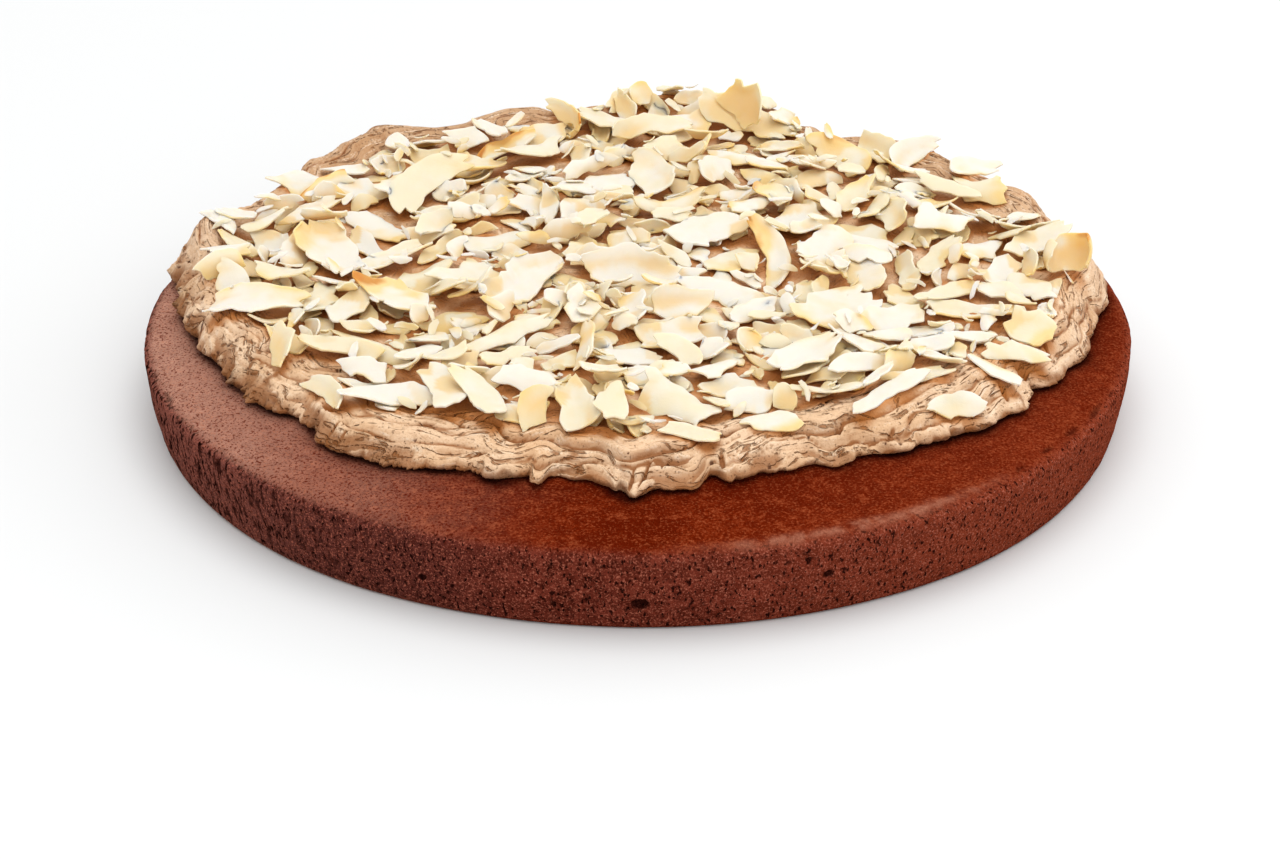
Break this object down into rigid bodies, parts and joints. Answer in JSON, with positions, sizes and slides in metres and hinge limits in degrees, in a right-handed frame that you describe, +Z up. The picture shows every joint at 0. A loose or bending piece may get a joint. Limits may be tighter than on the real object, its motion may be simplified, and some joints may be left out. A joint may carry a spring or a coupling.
{
  "type": "chocolate cake",
  "caption": "Round uncut chocolate sponge cake with a thick, rough-edged coat of chocolate buttercream on top, scattered with toasted coconut chips.",
  "frame": {"origin": "middle of the flat base that the cake stands on", "axes": "+Z up through the middle of the cake; -Y towards the front, the side on which the frosting stops furthest from the sponge's edge; +X to the right seen from the front"},
  "size_m": [0.2605, 0.2594, 0.0442],
  "materials": {
    "sponge": "dry red-brown chocolate sponge, porous at the side and velvety on top",
    "frosting": "soft satin light-brown chocolate buttercream",
    "coconut": "dry cream-white coconut shavings with golden toasted edges"
  },
  "bodies": {
    "root": {"sponge": "sponge", "frosting": "frosting"}
  },
  "joints": []
}
